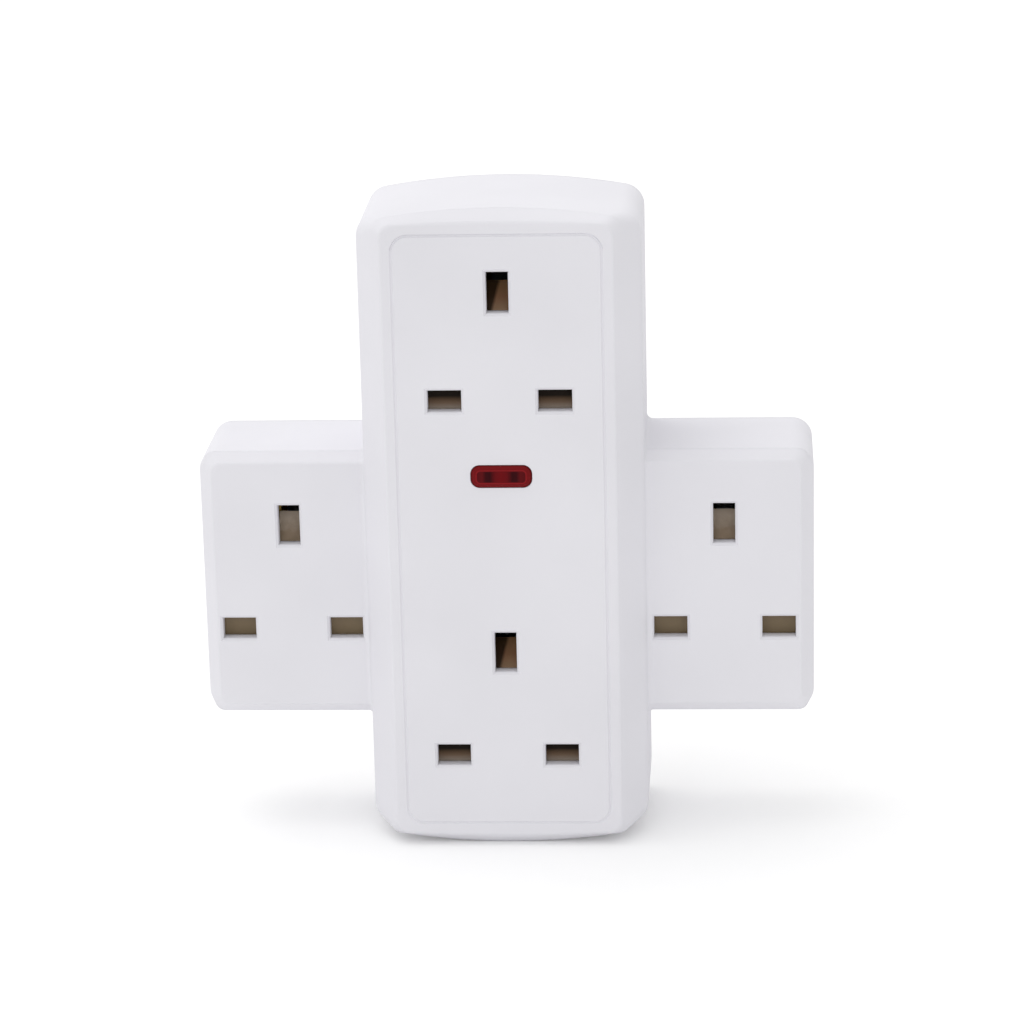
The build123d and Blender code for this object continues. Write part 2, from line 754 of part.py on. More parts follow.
def pin_sleeve(side):
    """Insulating sleeve round the root of a line or neutral pin."""
    return Pos(side * PIN_PITCH / 2) * (sleeve(0) - sleeve(SLEEVE_WALL))


def fuse_clip(y, base_z):
    """Channel that grips one fuse cap, open to the rear, its back resting at base_z."""
    inner = FUSE_DIAMETER / 2 + FUSE_PLAY
    outer = inner + CLIP_THICK
    low = y - CLIP_WIDTH / 2
    high = y + CLIP_WIDTH / 2
    rear = fuse_z - FUSE_DIAMETER / 4
    made = block(FUSE_X - outer, FUSE_X + outer, low, high, rear, base_z)
    return made - block(FUSE_X - inner, FUSE_X + inner, low, high, rear, base_z - CLIP_THICK)


def fuse_supply_clip():
    """Clip on the lower cap, with a tail down to the line pin."""
    half = PIN_PITCH / 2
    y = FUSE_FOOT_Y + FUSE_CAP_LENGTH / 2
    top = supply_clip_z + CLIP_THICK
    tail = block(
        half - LIVE_PIN_WIDTH / 2,
        half + LIVE_PIN_WIDTH / 2,
        -PIN_THICK / 2,
        y + CLIP_WIDTH / 2,
        supply_clip_z,
        top,
    )
    return fuse_clip(y, top) + tail


def fuse_load_clip():
    """Clip on the upper cap, riveted to the line busbar."""
    return fuse_clip(FUSE_FOOT_Y + FUSE_LENGTH - FUSE_CAP_LENGTH / 2, line_z)


def along_y(y0, y1, diameter):
    """Cylinder on the fuse's axis between two heights."""
    return Pos(FUSE_X, (y0 + y1) / 2, fuse_z) * Rot(90, 0, 0) * Cylinder(diameter / 2, y1 - y0)


def fuse_cap(upper):
    """Metal cup on one end of the fuse."""
    low = FUSE_FOOT_Y
    high = FUSE_FOOT_Y + FUSE_CAP_LENGTH
    hollow = (low + FUSE_CAP_WALL, high)
    if upper:
        high = FUSE_FOOT_Y + FUSE_LENGTH
        low = high - FUSE_CAP_LENGTH
        hollow = (low, high - FUSE_CAP_WALL)
    return along_y(low, high, FUSE_DIAMETER) - along_y(*hollow, FUSE_DIAMETER - 2 * FUSE_CAP_WALL)


def barrel_diameter():
    """Outer diameter of the ceramic barrel inside the caps."""
    return FUSE_DIAMETER - 2 * FUSE_CAP_WALL - 2 * FUSE_CAP_GAP


def fuse_barrel():
    """Ceramic barrel of the fuse, its ends against the caps."""
    low = FUSE_FOOT_Y + FUSE_CAP_WALL
    high = FUSE_FOOT_Y + FUSE_LENGTH - FUSE_CAP_WALL
    return along_y(low, high, barrel_diameter())


def fuse_drawer():
    """Drawer that closes the fuse opening and holds the fuse by its barrel."""
    made = drawer_place() * drawer_plug(DRAWER_PLAY, DRAWER_STEP)
    inner = barrel_diameter() / 2 + FUSE_PLAY
    outer = inner + DRAWER_CHEEK
    middle = FUSE_FOOT_Y + FUSE_LENGTH / 2
    low = middle - DRAWER_GRIP / 2
    high = middle + DRAWER_GRIP / 2
    made += block(FUSE_X - outer, FUSE_X + outer, low, high, COVER_WALL, fuse_z + inner / 2)
    made -= along_y(low, high, 2 * inner)
    made -= block(FUSE_X - inner, FUSE_X + inner, low, high, fuse_z, fuse_z + inner)
    pry_y = FUSE_FOOT_Y + FUSE_LENGTH + DRAWER_RIM - PRY_HEIGHT
    return made - block(
        FUSE_X - PRY_WIDTH / 2, FUSE_X + PRY_WIDTH / 2, pry_y - PRY_HEIGHT, pry_y, 0, PRY_DEPTH
    )


def indicator_lens():
    """Lens with a bevelled front, and a flange behind the housing's window."""
    back = depth - FACE_WALL
    size = (LENS_WIDTH - 2 * LENS_GAP, LENS_HEIGHT - 2 * LENS_GAP)
    corner = LENS_CORNER - LENS_GAP
    body = plate(*size, corner, back - LENS_FLANGE_THICK, depth)
    crown = loft(
        [
            Pos(0, 0, depth) * RectangleRounded(*size, corner),
            Pos(0, 0, depth + LENS_PROUD)
            * RectangleRounded(
                size[0] - 2 * LENS_BEVEL, size[1] - 2 * LENS_BEVEL, corner - LENS_BEVEL
            ),
        ],
        ruled=True,
    )
    flange = plate(size[0], size[1] + 2 * LENS_FLANGE, corner, back - LENS_FLANGE_THICK, back)
    return Pos(0, NEON_ROW) * (body + crown + flange)


def neon_lamp():
    """Glass neon lamp behind the lens, its axis across the adapter."""
    radius = LAMP_DIAMETER / 2
    half = LAMP_LENGTH / 2 - radius
    bulb = Cylinder(radius, 2 * half)
    bulb += [Pos(0, 0, side * half) * Sphere(radius) for side in (-1, 1)]
    bulb += Cylinder(LAMP_STUB / 2, LAMP_LENGTH + 2 * LAMP_STUB_LENGTH)
    return Pos(0, NEON_ROW, lamp_z()) * Rot(0, 90, 0) * bulb


def lead(side, end_z):
    """Wire from one end of the lamp, bent back to a busbar."""
    start = side * (LAMP_LENGTH / 2 + LAMP_STUB_LENGTH)
    turn = start + side * LEAD_STEP
    z = lamp_z()
    corners = [(start, NEON_ROW, z), (turn, NEON_ROW, z), (turn, NEON_ROW, end_z)]
    path = FilletPolyline(*corners, radius=LEAD_BEND)
    section = Plane((start, NEON_ROW, z), z_dir=(side, 0, 0)) * Circle(LEAD_DIAMETER / 2)
    return sweep(section, path=path)


def ballast_resistor():
    """Resistor on the neutral side's lead."""
    x = -LAMP_LENGTH / 2 - LAMP_STUB_LENGTH - LEAD_STEP
    end = neutral_z + STRIP
    middle = (lamp_z() + end) / 2
    half = RESISTOR_LENGTH / 2
    body = rod(x, NEON_ROW, middle - half, middle + half, RESISTOR_DIAMETER)
    return lead(-1, end) + body


parts = {
    "front_housing": front_housing(),
    "rear_cover": rear_cover(),
    "indicator_lens": indicator_lens(),
    "neon_lamp": neon_lamp(),
    "ballast_resistor": ballast_resistor(),
    "lamp_lead": lead(1, line_z + STRIP),
    "line_busbar": live_busbar(1, line_z, LINE_CROSS_Y),
    "neutral_busbar": live_busbar(-1, neutral_z, NEUTRAL_CROSS_Y),
    "earth_busbar": earth_busbar(),
    "line_pin": live_pin(1, supply_clip_z),
    "neutral_pin": live_pin(-1, neutral_z),
    "earth_pin": Pos(0, PIN_PITCH) * plug_pin(PIN_THICK, EARTH_PIN_WIDTH, EARTH_PIN_LENGTH, earth_z),
    "line_pin_sleeve": pin_sleeve(1),
    "neutral_pin_sleeve": pin_sleeve(-1),
    "fuse_supply_clip": fuse_supply_clip(),
    "fuse_load_clip": fuse_load_clip(),
    "fuse_barrel": fuse_barrel(),
    "fuse_cap_lower": fuse_cap(False),
    "fuse_cap_upper": fuse_cap(True),
    "fuse_drawer": fuse_drawer(),
}
for socket_name, socket_place in SOCKETS.items():
    parts[socket_name + "_shutter"] = socket_place * shutter()
    parts[socket_name + "_shutter_spring"] = socket_place * shutter_spring()
    parts[socket_name + "_shutter_retainer"] = socket_place * shutter_retainer()
for boss_name, boss_place in boss_places().items():
    parts["screw_" + boss_name] = screw(*boss_place)

# Stood up, with the rear face on the plane y = 0 and the front towards -y
os.makedirs("parts", exist_ok=True)
for name, part in parts.items():
    export_step(Rot(90, 0, 0) * part, os.path.join("parts", name + ".step"))
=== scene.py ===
# %% [markdown]
# # A four-way mains adapter
# The adapter is a white cross of moulded plastic that plugs into a wall socket and offers four
# sockets of its own. Its solids come from CAD and already have their true sizes, so this lesson
# only dresses them: finishes, small details, a camera, a floor and light.

# %% Load the solids
import math

import bmesh
import bpy
from mathutils import Matrix, Vector


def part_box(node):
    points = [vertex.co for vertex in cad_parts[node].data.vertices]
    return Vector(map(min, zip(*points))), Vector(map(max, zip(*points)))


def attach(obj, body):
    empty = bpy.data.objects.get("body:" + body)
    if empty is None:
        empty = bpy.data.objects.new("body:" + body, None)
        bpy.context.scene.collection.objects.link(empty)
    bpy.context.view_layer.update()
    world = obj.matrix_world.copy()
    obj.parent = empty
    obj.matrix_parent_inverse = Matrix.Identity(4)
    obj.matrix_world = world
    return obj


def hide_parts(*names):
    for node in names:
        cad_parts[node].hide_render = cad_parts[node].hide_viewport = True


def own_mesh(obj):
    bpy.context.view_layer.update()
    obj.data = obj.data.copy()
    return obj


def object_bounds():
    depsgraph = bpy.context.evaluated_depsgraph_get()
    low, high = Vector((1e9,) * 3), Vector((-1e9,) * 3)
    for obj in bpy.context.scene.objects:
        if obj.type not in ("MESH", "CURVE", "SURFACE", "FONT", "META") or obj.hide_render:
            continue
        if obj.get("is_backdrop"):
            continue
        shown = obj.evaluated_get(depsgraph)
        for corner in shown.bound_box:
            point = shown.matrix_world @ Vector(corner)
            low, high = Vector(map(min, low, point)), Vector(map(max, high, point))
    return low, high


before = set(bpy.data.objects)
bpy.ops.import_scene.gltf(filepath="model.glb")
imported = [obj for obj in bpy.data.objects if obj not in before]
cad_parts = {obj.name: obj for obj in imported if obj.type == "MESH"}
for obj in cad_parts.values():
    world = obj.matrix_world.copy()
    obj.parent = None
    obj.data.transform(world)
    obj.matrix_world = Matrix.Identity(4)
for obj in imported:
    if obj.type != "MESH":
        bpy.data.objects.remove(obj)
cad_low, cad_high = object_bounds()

MM = 0.001
SOCKETS = ("upper", "lower", "left", "right")
print("adapter box in mm:", [round(x / MM, 1) for x in cad_high - cad_low])

# %% [markdown]
# ## The camera
# The adapter is seen from a little above and a touch to its right through a long lens, so its
# upright edges hardly converge. A camera can be aimed at a target, but three plain turns say more:
# tilt it down, turn it round the upright axis, and roll it by the last degree.

# %% Place the camera
CAMERA_SPOT = (0.050073, -0.766774, 0.247996)
TURN, TILT, ROLL = 3.759, 16.716, -1.369
SENSOR, LENS = 36.0, 133.594
NEAREST = 0.05

lens_data = bpy.data.cameras.new("studio_camera")
lens_data.sensor_width = SENSOR
lens_data.lens = LENS
lens_data.clip_start = NEAREST
camera = bpy.data.objects.new("studio_camera", lens_data)
bpy.context.scene.collection.objects.link(camera)
bpy.context.scene.camera = camera

aim = Matrix.Rotation(math.radians(TURN), 4, "Z")
aim = aim @ Matrix.Rotation(math.radians(90 - TILT), 4, "X")
aim = aim @ Matrix.Rotation(math.radians(ROLL), 4, "Z")
camera.matrix_world = Matrix.Translation(CAMERA_SPOT) @ aim
print("camera stands", round(Vector(CAMERA_SPOT).length, 3), "m from the middle of the pins")

# %% [markdown]
# ## Colour and nodes
# Colours are written as the hex values a paint chart would give, and Blender wants linear light,
# so one function converts them. A second one adds any shader node with its settings, values and
# links, and fills its colour stops if it has some. A third turns a size into a pattern's scale.


# %% Helpers for every finish
def linear(code):
    """Linear colour with alpha from an sRGB hex value."""
    shares = [int(code[i:i + 2], 16) / 255 for i in (1, 3, 5)]
    light = [s / 12.92 if s <= 0.04045 else ((s + 0.055) / 1.055) ** 2.4 for s in shares]
    return (*light, 1.0)


def add_node(tree, kind, values=None, links=None, stops=(), **settings):
    """One shader node: settings on it, values and links on its sockets, colours at its stops."""
    made = tree.nodes.new("ShaderNode" + kind)
    for name, value in settings.items():
        setattr(made, name, value)
    for socket, value in (values or {}).items():
        made.inputs[socket].default_value = value
    for socket, source in (links or {}).items():
        tree.links.new(source, made.inputs[socket])
    for i, (at, code) in enumerate(stops):
        marks = made.color_ramp.elements
        mark = marks[i] if i < len(marks) else marks.new(at)
        mark.position = at
        mark.color = linear(code)
    return made


def per_metre(size_mm):
    """Scale of a pattern whose features are this many millimetres across."""
    return 1 / (size_mm * MM)


print("a mid grey of #808080 is", round(linear("#808080")[0], 3), "in linear light")

# %% [markdown]
# Every finish starts alike: one shader, its output, and the adapter's own coordinates to lay
# patterns in. Real surfaces then waver between close colours and between duller and shinier, so
# one pattern drives both. The last helper puts a finish on solids by name.


# %% Start a finish, let it waver, put it on
def new_finish(name, **values):
    """A material with one shader; gives its node tree, shader and coordinates too."""
    finish = bpy.data.materials.new(name)
    finish.use_nodes = True
    tree = finish.node_tree
    tree.nodes.clear()
    shader = add_node(tree, "BsdfPrincipled", {k.replace("_", " "): v for k, v in values.items()})
    add_node(tree, "OutputMaterial", links={"Surface": shader.outputs["BSDF"]})
    return finish, tree, shader, add_node(tree, "TexCoord").outputs


def waver(tree, shader, pattern, stops, roughness=None):
    """Spread colours over a pattern, and the roughness between two values if they are given."""
    ramp = add_node(tree, "ValToRGB", links={"Fac": pattern}, stops=stops)
    tree.links.new(ramp.outputs["Color"], shader.inputs["Base Color"])
    if roughness:
        ends = {"To Min": roughness[0], "To Max": roughness[1]}
        dull = add_node(tree, "MapRange", ends, {"Value": pattern})
        tree.links.new(dull.outputs["Result"], shader.inputs["Roughness"])


def dress(finish, *names):
    """Put a finish on solids by name."""
    for name in names:
        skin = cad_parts[name].data.materials
        skin.clear()
        skin.append(finish)
    print(finish.name, "on", ", ".join(names))


# %% [markdown]
# ## White ABS, moulded in a spark-eroded tool
# The case is ABS, a hard opaque plastic. Its mould was finished by spark erosion, which leaves a
# very fine even grain, so the eye gets a matt white with broad, faint highlights and no mirror
# image, not even along its edges. Slow flow marks make the white waver by a percent or so.

# %% Finish of the case
FLOW_MARK = 28.0

abs_white, tree, shader, place = new_finish(
    "white_abs_moulded", IOR=1.53, Specular_IOR_Level=0.25
)
flow = add_node(
    tree, "TexNoise", {"Scale": per_metre(FLOW_MARK), "Detail": 2.0}, {"Vector": place["Object"]}
)
waver(tree, shader, flow.outputs["Fac"], [(0.3, "#E7E6EB"), (0.7, "#EBEAEF")], (0.66, 0.76))
print("white of the case wavers over", FLOW_MARK, "mm")

# %% [markdown]
# Hand polishing eases the arrises of a mould, so the bevels of the case melt into its sides. The
# Bevel node shades an edge as if it were rounded, which suits edges that only need to look softer.
# The two flat fronts keep their crisp slots and groove, so there the plain normal is used. Along
# the top the groove's upper wall lies in shade, and shading it steeper lets it read as a line.

# %% Plain normal of the case, with a steeper groove along the top
# The groove's top run and corners: middle and half span, across and upwards
GROOVE_RUN = {"X": (0.0, 21.6 * MM), "Z": (82.95 * MM, 2.45 * MM)}
STEEPER = 2.5
FACING_DOWN = -0.1

spot = add_node(tree, "SeparateXYZ", links={"Vector": place["Object"]}).outputs
plain = add_node(tree, "NewGeometry").outputs["Normal"]
upright = add_node(tree, "SeparateXYZ", links={"Vector": plain}).outputs["Z"]
at_wall = add_node(
    tree, "Math", {1: FACING_DOWN}, {0: upright}, operation="LESS_THAN"
).outputs[0]
for way, (middle, half) in GROOVE_RUN.items():
    inside = add_node(tree, "Math", {1: middle, 2: half}, {0: spot[way]}, operation="COMPARE")
    both = {0: at_wall, 1: inside.outputs[0]}
    at_wall = add_node(tree, "Math", links=both, operation="MULTIPLY").outputs[0]
steep = add_node(
    tree, "Math", {1: STEEPER - 1, 2: 1.0}, {0: at_wall}, operation="MULTIPLY_ADD"
).outputs[0]
lean = add_node(tree, "CombineXYZ", {"Y": 1.0}, {"X": steep, "Z": steep}).outputs[0]
plain = add_node(tree, "VectorMath", links={0: plain, 1: lean}, operation="MULTIPLY").outputs[0]
plain = add_node(tree, "VectorMath", links={0: plain}, operation="NORMALIZE").outputs[0]
print("upper wall of the top groove is shaded", STEEPER, "times as steep")

# %% Eased edges and grain of the case
EASED_EDGE = 1.2 * MM
COLUMN_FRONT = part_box("front_housing")[0].y
WING_FRONT = -25.55 * MM
FRONT_BAND = 0.45 * MM

eased = add_node(tree, "Bevel", {"Radius": EASED_EDGE}, samples=6).outputs["Normal"]
for front in (COLUMN_FRONT, WING_FRONT):
    at_front = add_node(
        tree, "Math", {1: front, 2: FRONT_BAND}, {0: spot["Y"]}, operation="COMPARE"
    ).outputs[0]
    # Sockets 4 and 5 are the two vectors of a Mix node, and its second output is their mix.
    eased = add_node(
        tree, "Mix", links={0: at_front, 4: eased, 5: plain}, data_type="VECTOR"
    ).outputs[1]
# The real grain is under 0.1 mm, so it is drawn 0.4 mm across to show at all.
grain = add_node(
    tree, "TexNoise", {"Scale": per_metre(0.4), "Detail": 1.0}, {"Vector": place["Object"]}
)
relief = add_node(
    tree,
    "Bump",
    {"Strength": 0.1, "Distance": 0.02 * MM},
    {"Height": grain.outputs["Fac"], "Normal": eased},
)
tree.links.new(relief.outputs["Normal"], shader.inputs["Normal"])
dress(abs_white, "front_housing", "rear_cover", "fuse_drawer")

# %% [markdown]
# ## Red polycarbonate lens
# The neon's lens is polycarbonate, moulded in a polished tool. It is clear but so deeply dyed that
# little light comes back. Its colour carries painted light: a painted highlight makes a brighter
# frame in the bevel, and inside it a painted glow lights the gap between two dark patches painted
# where the lamp's electrodes lie. Distance from a core in the middle of the lens draws the frame,
# which keeps its corners round.

# %% How far a point lies outside the lens's core
# Half length, depth and half height of the core; the depth takes in the whole lens.
LENS_CORE = (4.2 * MM, 1.0, 0.5 * MM)

low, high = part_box("indicator_lens")
lens_red, tree, shader, place = new_finish(
    "red_polycarbonate_polished", IOR=1.585, Roughness=0.16, Specular_IOR_Level=0.03
)
aside = add_node(
    tree, "VectorMath", {1: (low + high) / 2}, {0: place["Object"]}, operation="SUBTRACT"
).outputs[0]
aside = add_node(tree, "VectorMath", links={0: aside}, operation="ABSOLUTE").outputs[0]
reach = add_node(
    tree, "VectorMath", {1: LENS_CORE}, {0: aside}, operation="SUBTRACT"
).outputs[0]
reach = add_node(tree, "VectorMath", {1: (0, 0, 0)}, {0: reach}, operation="MAXIMUM").outputs[0]
reach = add_node(tree, "VectorMath", links={0: reach}, operation="LENGTH").outputs["Value"]
print("lens core is", 2 * LENS_CORE[0] / MM, "by", 2 * LENS_CORE[2] / MM, "mm")

# %% Painted highlight frame, painted glow, electrode patches and ripple of the lens
LENS_REACH = 2.8 * MM
LENS_HALF = 6.2 * MM
RIM_START, RIM_FULL = 0.45 * MM, 0.75 * MM

outward = add_node(tree, "MapRange", {"From Max": LENS_REACH}, {"Value": reach})
# The bright stop of the frame is a painted highlight along the bevel.
rim = add_node(
    tree,
    "ValToRGB",
    links={"Fac": outward.outputs["Result"]},
    stops=[
        (0.22, "#5A1116"),
        (0.29, "#922125"),
        (0.36, "#72161A"),
        (0.53, "#76181B"),
        (0.62, "#641417"),
        (0.95, "#4C1015"),
    ],
)
sideways = add_node(tree, "SeparateXYZ", links={"Vector": aside}).outputs["X"]
sideways = add_node(tree, "MapRange", {"From Max": LENS_HALF}, {"Value": sideways})
# The core is painted lighter in the middle as a painted glow, with dark patches painted where the
# electrodes lie.
core = add_node(
    tree,
    "ValToRGB",
    links={"Fac": sideways.outputs["Result"]},
    stops=[
        (0.0, "#6E1116"),
        (0.18, "#661116"),
        (0.36, "#360C11"),
        (0.5, "#3A0D12"),
        (0.62, "#5E1317"),
        (0.8, "#541116"),
    ],
)
at_rim = add_node(
    tree, "MapRange", {"From Min": RIM_START, "From Max": RIM_FULL}, {"Value": reach}
)
# Sockets 6 and 7 are the two colours of a Mix node, and its third output is their mix.
# The dyed red is mixed with the painted highlight frame and the painted glow.
dye_and_painted_light = add_node(
    tree,
    "Mix",
    links={
        0: at_rim.outputs["Result"],
        6: core.outputs["Color"],
        7: rim.outputs["Color"],
    },
    data_type="RGBA",
)
tree.links.new(dye_and_painted_light.outputs[2], shader.inputs["Base Color"])
# Drawn ripples of 1.2 mm stand in for the mould's polishing marks.
ripple = add_node(
    tree, "TexNoise", {"Scale": per_metre(1.2), "Detail": 1.0}, {"Vector": place["Object"]}
)
relief = add_node(
    tree, "Bump", {"Strength": 0.2, "Distance": 0.05 * MM}, {"Height": ripple.outputs["Fac"]}
)
tree.links.new(relief.outputs["Normal"], shader.inputs["Normal"])
dress(lens_red, "indicator_lens")

# %% [markdown]
# ## Nylon shutters
# Behind each set of slots sits a shutter of nylon, which slides well on itself. It came out of a
# plain machined mould, so it is matt. The two in the column are painted darker by height, as
# painted shade on the upper half of the bar and a painted shadow down one side of the ramp. The two
# in the wings are painted lighter towards the top of the ramp, as painted light.

# %% Finish of the wing shutters
UNEVEN = 0.08

nylon_with_painted_light, tree, shader, place = new_finish(
    "fawn_nylon_moulded", IOR=1.53, Roughness=0.55, Specular_IOR_Level=0.2
)
# The generated height runs from 0 at the foot of the bar to 1 at the top of the ramp.
level = add_node(tree, "SeparateXYZ", links={"Vector": place["Generated"]}).outputs["Z"]
mottle = add_node(
    tree, "TexNoise", {"Scale": per_metre(1.5), "Detail": 3.0}, {"Vector": place["Object"]}
)
mottled_height = add_node(
    tree, "Math", {1: UNEVEN}, {0: mottle.outputs["Fac"], 2: level}, operation="MULTIPLY_ADD"
)
# The top of the ramp is painted lighter, as painted light on a part that lies in shade.
waver(
    tree,
    shader,
    mottled_height.outputs[0],
    [
        (0.04, "#776850"),
        (0.14, "#807058"),
        (0.26, "#7A6A55"),
        (0.76, "#74654F"),
        (0.9, "#A08C76"),
        (1.0, "#E0CEBA"),
    ],
)
dress(nylon_with_painted_light, "left_shutter", "right_shutter")

# %% Finish of the column shutters: painted light and shade by height
nylon_with_painted_shade, tree, shader, place = new_finish(
    "brown_nylon_with_painted_shade", IOR=1.53, Roughness=0.45, Specular_IOR_Level=0.04
)
spot = add_node(tree, "SeparateXYZ", links={"Vector": place["Generated"]}).outputs
# Painted light and shade by height: the bar turns dark above its foot as painted shade under the
# slot's top edge, and the ramp is painted lighter at its foot and browner above.
film = add_node(
    tree,
    "ValToRGB",
    links={"Fac": spot["Z"]},
    stops=[
        (0.0, "#A2978B"),
        (0.025, "#928679"),
        (0.062, "#73604F"),
        (0.081, "#604D3D"),
        (0.1, "#493A2C"),
        (0.118, "#1E1813"),
        (0.3, "#1A1511"),
        (0.7, "#CDBDB0"),
        (0.76, "#B29A87"),
        (0.81, "#90745A"),
        (0.89, "#8C674C"),
        (1.0, "#95714F"),
    ],
)
print("film of grease has", len(film.color_ramp.elements), "stops")

# %% Finish of the column shutters: the painted shadow down one side of the ramp
# The ramp spans 0.413 to 0.587 across; a painted shadow down its left side widens towards the top.
PAINTED_SHADOW_FOOT, PAINTED_SHADOW_HEAD = 0.435, 0.505
PAINTED_SHADOW_BLUR = 0.012
PAINTED_SHADOW_TINT = 0.16
RAMP_FOOT = 0.7
BELOW_RAMP = 0.6

edge = add_node(
    tree,
    "MapRange",
    {"From Min": RAMP_FOOT, "To Min": PAINTED_SHADOW_FOOT, "To Max": PAINTED_SHADOW_HEAD},
    {"Value": spot["Z"]},
)
past = add_node(
    tree, "Math", links={0: spot["X"], 1: edge.outputs["Result"]}, operation="SUBTRACT"
)
painted_shadow_fade = add_node(
    tree,
    "MapRange",
    {"From Min": -PAINTED_SHADOW_BLUR, "From Max": PAINTED_SHADOW_BLUR, "To Min": PAINTED_SHADOW_TINT},
    {"Value": past.outputs[0]},
)
on_ramp = add_node(tree, "Math", {1: BELOW_RAMP}, {0: spot["Z"]}, operation="GREATER_THAN")
share = add_node(
    tree,
    "MapRange",
    {"To Min": 1.0},
    {"Value": on_ramp.outputs[0], "To Max": painted_shadow_fade.outputs["Result"]},
)
# The colours by height are multiplied by the painted shadow on the left side of the ramp.
painted_shadow_mix = add_node(
    tree,
    "Mix",
    {0: 1.0},
    {6: film.outputs["Color"], 7: share.outputs["Result"]},
    data_type="RGBA",
    blend_type="MULTIPLY",
)
tree.links.new(painted_shadow_mix.outputs[2], shader.inputs["Base Color"])
dress(nylon_with_painted_shade, "upper_shutter", "lower_shutter")

# %% [markdown]
# ## Dark nylon retainers
# A plate of glass-filled nylon keeps each shutter in its guides. The glass gives it a dull, faintly
# streaked skin, and only a sliver of it shows behind the slots.

# %% Finish of the retainers
nylon_dark, tree, shader, place = new_finish("dark_nylon_glass_filled", IOR=1.53, Roughness=0.6)
streak = add_node(tree, "Mapping", {"Scale": (1.0, 1.0, 0.15)}, {"Vector": place["Object"]})
fibre = add_node(
    tree,
    "TexNoise",
    {"Scale": per_metre(0.6), "Detail": 4.0},
    {"Vector": streak.outputs["Vector"]},
)
waver(tree, shader, fibre.outputs["Fac"], [(0.3, "#3A342E"), (0.7, "#4C453E")])
dress(nylon_dark, *[s + "_shutter_retainer" for s in SOCKETS])

# %% [markdown]
# ## Brass pins and busbars
# The pins are cut from drawn brass bar and the busbars are stamped from rolled strip. Drawing and
# rolling both leave fine lines along the metal, which stretch its highlights. Stretching a noise
# along one axis gives such lines without any picture.

# %% Finish of the pins
brass_drawn, tree, shader, place = new_finish("brass_drawn_bar", Metallic=1.0)
along = add_node(tree, "Mapping", {"Scale": (1.0, 0.03, 1.0)}, {"Vector": place["Object"]})
lines = add_node(
    tree,
    "TexNoise",
    {"Scale": per_metre(0.15), "Detail": 2.0},
    {"Vector": along.outputs["Vector"]},
).outputs["Fac"]
waver(tree, shader, lines, [(0.3, "#D3BC86"), (0.7, "#DAC592")], (0.18, 0.26))
relief = add_node(tree, "Bump", {"Strength": 0.05, "Distance": 0.01 * MM}, {"Height": lines})
tree.links.new(relief.outputs["Normal"], shader.inputs["Normal"])
dress(brass_drawn, "line_pin", "neutral_pin", "earth_pin")

# %% Finish of the busbars and clips
brass_strip, tree, shader, place = new_finish("brass_strip_rolled", Metallic=1.0)
along = add_node(tree, "Mapping", {"Scale": (1.0, 1.0, 0.05)}, {"Vector": place["Object"]})
lines = add_node(
    tree,
    "TexNoise",
    {"Scale": per_metre(0.3), "Detail": 4.0},
    {"Vector": along.outputs["Vector"]},
).outputs["Fac"]
waver(tree, shader, lines, [(0.3, "#B8964F"), (0.7, "#D0B06A")], (0.28, 0.45))
dress(
    brass_strip,
    "line_busbar",
    "neutral_busbar",
    "earth_busbar",
    "fuse_supply_clip",
    "fuse_load_clip",
)

# %% [markdown]
# ## Black sleeves
# The live pins wear a sleeve of black nylon near their root, so that a finger behind a half-pulled
# plug meets no metal. It is moulded on, with a satin skin that scuffs lengthwise in use.

# %% Finish of the sleeves
nylon_black, tree, shader, place = new_finish("black_nylon_moulded", IOR=1.53)
along = add_node(tree, "Mapping", {"Scale": (1.0, 0.08, 1.0)}, {"Vector": place["Object"]})
scuff = add_node(
    tree,
    "TexNoise",
    {"Scale": per_metre(0.4), "Detail": 3.0},
    {"Vector": along.outputs["Vector"]},
)
waver(tree, shader, scuff.outputs["Fac"], [(0.35, "#161617"), (0.75, "#262628")], (0.35, 0.55))
dress(nylon_black, "line_pin_sleeve", "neutral_pin_sleeve")

# %% [markdown]
# ## The fuse
# A plug fuse is a ceramic tube between two nickel-plated brass cups. Fired ceramic is an off-white
# that speckles faintly, and the plating mirrors its surroundings softly.

# %% Finishes of the fuse
ceramic, tree, shader, place = new_finish("ceramic_fired", IOR=1.6, Roughness=0.45)
speck = add_node(
    tree, "TexNoise", {"Scale": per_metre(0.5), "Detail": 4.0}, {"Vector": place["Object"]}
)
waver(tree, shader, speck.outputs["Fac"], [(0.3, "#DDD8CC"), (0.6, "#EAE6DC")])
dress(ceramic, "fuse_barrel")

nickel, tree, shader, place = new_finish("nickel_plated_brass", Metallic=1.0)
haze = add_node(
    tree, "TexNoise", {"Scale": per_metre(1.5), "Detail": 4.0}, {"Vector": place["Object"]}
)
waver(tree, shader, haze.outputs["Fac"], [(0.3, "#C6C2B8"), (0.7, "#D8D5CC")], (0.15, 0.3))
dress(nickel, "fuse_cap_lower", "fuse_cap_upper")

# %% [markdown]
# ## The neon lamp and its wires
# Behind the lens lies a small glass tube. It is fed by tinned copper wire on one side and through
# a lacquered resistor on the other, whose painted rings give its value.

# %% Finishes of the lamp and wire
lamp_glass, tree, shader, place = new_finish(
    "soda_glass_drawn", IOR=1.52, Transmission_Weight=1.0
)
smoke = add_node(
    tree, "TexNoise", {"Scale": per_metre(4), "Detail": 2.0}, {"Vector": place["Object"]}
)
waver(tree, shader, smoke.outputs["Fac"], [(0.3, "#E8E4E0"), (0.7, "#F6F5F3")], (0.02, 0.06))
dress(lamp_glass, "neon_lamp")

